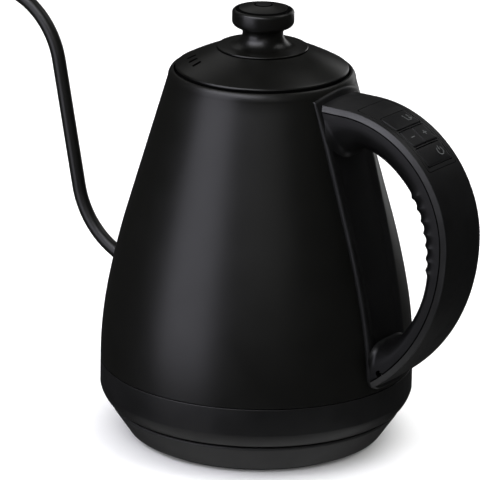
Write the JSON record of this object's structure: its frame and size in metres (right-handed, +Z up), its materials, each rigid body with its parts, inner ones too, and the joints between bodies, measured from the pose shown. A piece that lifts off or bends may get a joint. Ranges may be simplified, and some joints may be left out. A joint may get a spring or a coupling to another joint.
{
  "type": "gooseneck kettle",
  "caption": "Electric gooseneck kettle: conical steel body, thin curved spout, bow handle with touch keys, domed lid with knob, on a round power base.",
  "frame": {"origin": "on the kettle's axis, at the face of the base's rubber ring that it stands on", "axes": "+Z up along the kettle's axis, +X towards the handle, -X towards the spout, +Y towards the cord entry"},
  "size_m": [0.2968, 0.156, 0.2206],
  "materials": {
    "black_enamel": "satin",
    "lid_black": "fine matte",
    "handle_black": "fine matte",
    "skirt_black": "satin",
    "base_black": "matte",
    "key_black": "satin",
    "inner_plastic": "moulded",
    "steel": "brushed",
    "aluminium": "cast",
    "brass": "bright",
    "rubber": "matte",
    "silicone": "matte",
    "board_green": "lacquered",
    "wire_grey": "satin"
  },
  "bodies": {
    "power_base": {"base_shell": "base_black", "base_bottom_cover": "base_black", "anti_slip_ring": "rubber", "base_socket": "inner_plastic", "socket_centre_contact": "brass", "socket_ring_contact": "brass", "cord_gland": "rubber", "base_screws": "steel", "base_leads": "wire_grey"},
    "turn_ring": {"socket_shutter": "inner_plastic"},
    "kettle": {"body_shell": "black_enamel", "spout_tube": "black_enamel", "skirt_ring": "skirt_black", "bottom_cover": "inner_plastic", "bottom_screws": "steel", "kettle_connector": "inner_plastic", "connector_pin": "brass", "connector_blade": "brass", "heating_plate": "steel", "heat_spreader": "aluminium", "heating_element": "steel", "element_terminals": "brass", "ntc_sensor": "steel", "sensor_grommet": "silicone", "upper_bracket": "steel", "lower_bracket": "steel", "bracket_screws": "steel", "handle_saddle": "handle_black", "handle_outer_cover": "handle_black", "handle_inner_cover": "handle_black", "handle_screws": "steel", "tact_switches": "inner_plastic", "control_board": "board_green", "handle_leads": "wire_grey"},
    "lid": {"lid_cover": "lid_black", "lid_inner": "steel", "lid_gasket": "silicone", "lid_knob": "lid_black", "knob_cap": "lid_black", "knob_badge": "key_black", "knob_screw": "steel", "knob_washer": "steel"},
    "warm_key": {"key_warm": "key_black", "key_warm_plunger": "inner_plastic"},
    "minus_key": {"key_minus": "key_black", "key_minus_plunger": "inner_plastic"},
    "plus_key": {"key_plus": "key_black", "key_plus_plunger": "inner_plastic"},
    "power_key": {"key_power": "key_black", "key_power_plunger": "inner_plastic"}
  },
  "joints": [
    {"name": "kettle_turn", "type": "hinge", "parent": "power_base", "child": "turn_ring", "pos_m": [0, 0, 0.026], "axis": [0, 0, 1], "continuous": true},
    {"name": "kettle_lift", "type": "slide", "parent": "turn_ring", "child": "kettle", "axis": [0, 0, 1], "range_m": [0, 0.12]},
    {"name": "lid_lift", "type": "slide", "parent": "kettle", "child": "lid", "axis": [0, 0, 1], "range_m": [0, 0.06]},
    {"name": "warm_press", "type": "slide", "parent": "kettle", "child": "warm_key", "axis": [-0.5446, 0, -0.8387], "range_m": [0, 0.0004], "stiffness_N_per_m": 3000, "springref_m": -0.0001},
    {"name": "minus_press", "type": "slide", "parent": "kettle", "child": "minus_key", "axis": [-0.5446, 0, -0.8387], "range_m": [0, 0.0004], "stiffness_N_per_m": 3000, "springref_m": -0.0001},
    {"name": "plus_press", "type": "slide", "parent": "kettle", "child": "plus_key", "axis": [-0.5446, 0, -0.8387], "range_m": [0, 0.0004], "stiffness_N_per_m": 3000, "springref_m": -0.0001},
    {"name": "power_press", "type": "slide", "parent": "kettle", "child": "power_key", "axis": [-0.5446, 0, -0.8387], "range_m": [0, 0.0004], "stiffness_N_per_m": 3000, "springref_m": -0.0001}
  ]
}
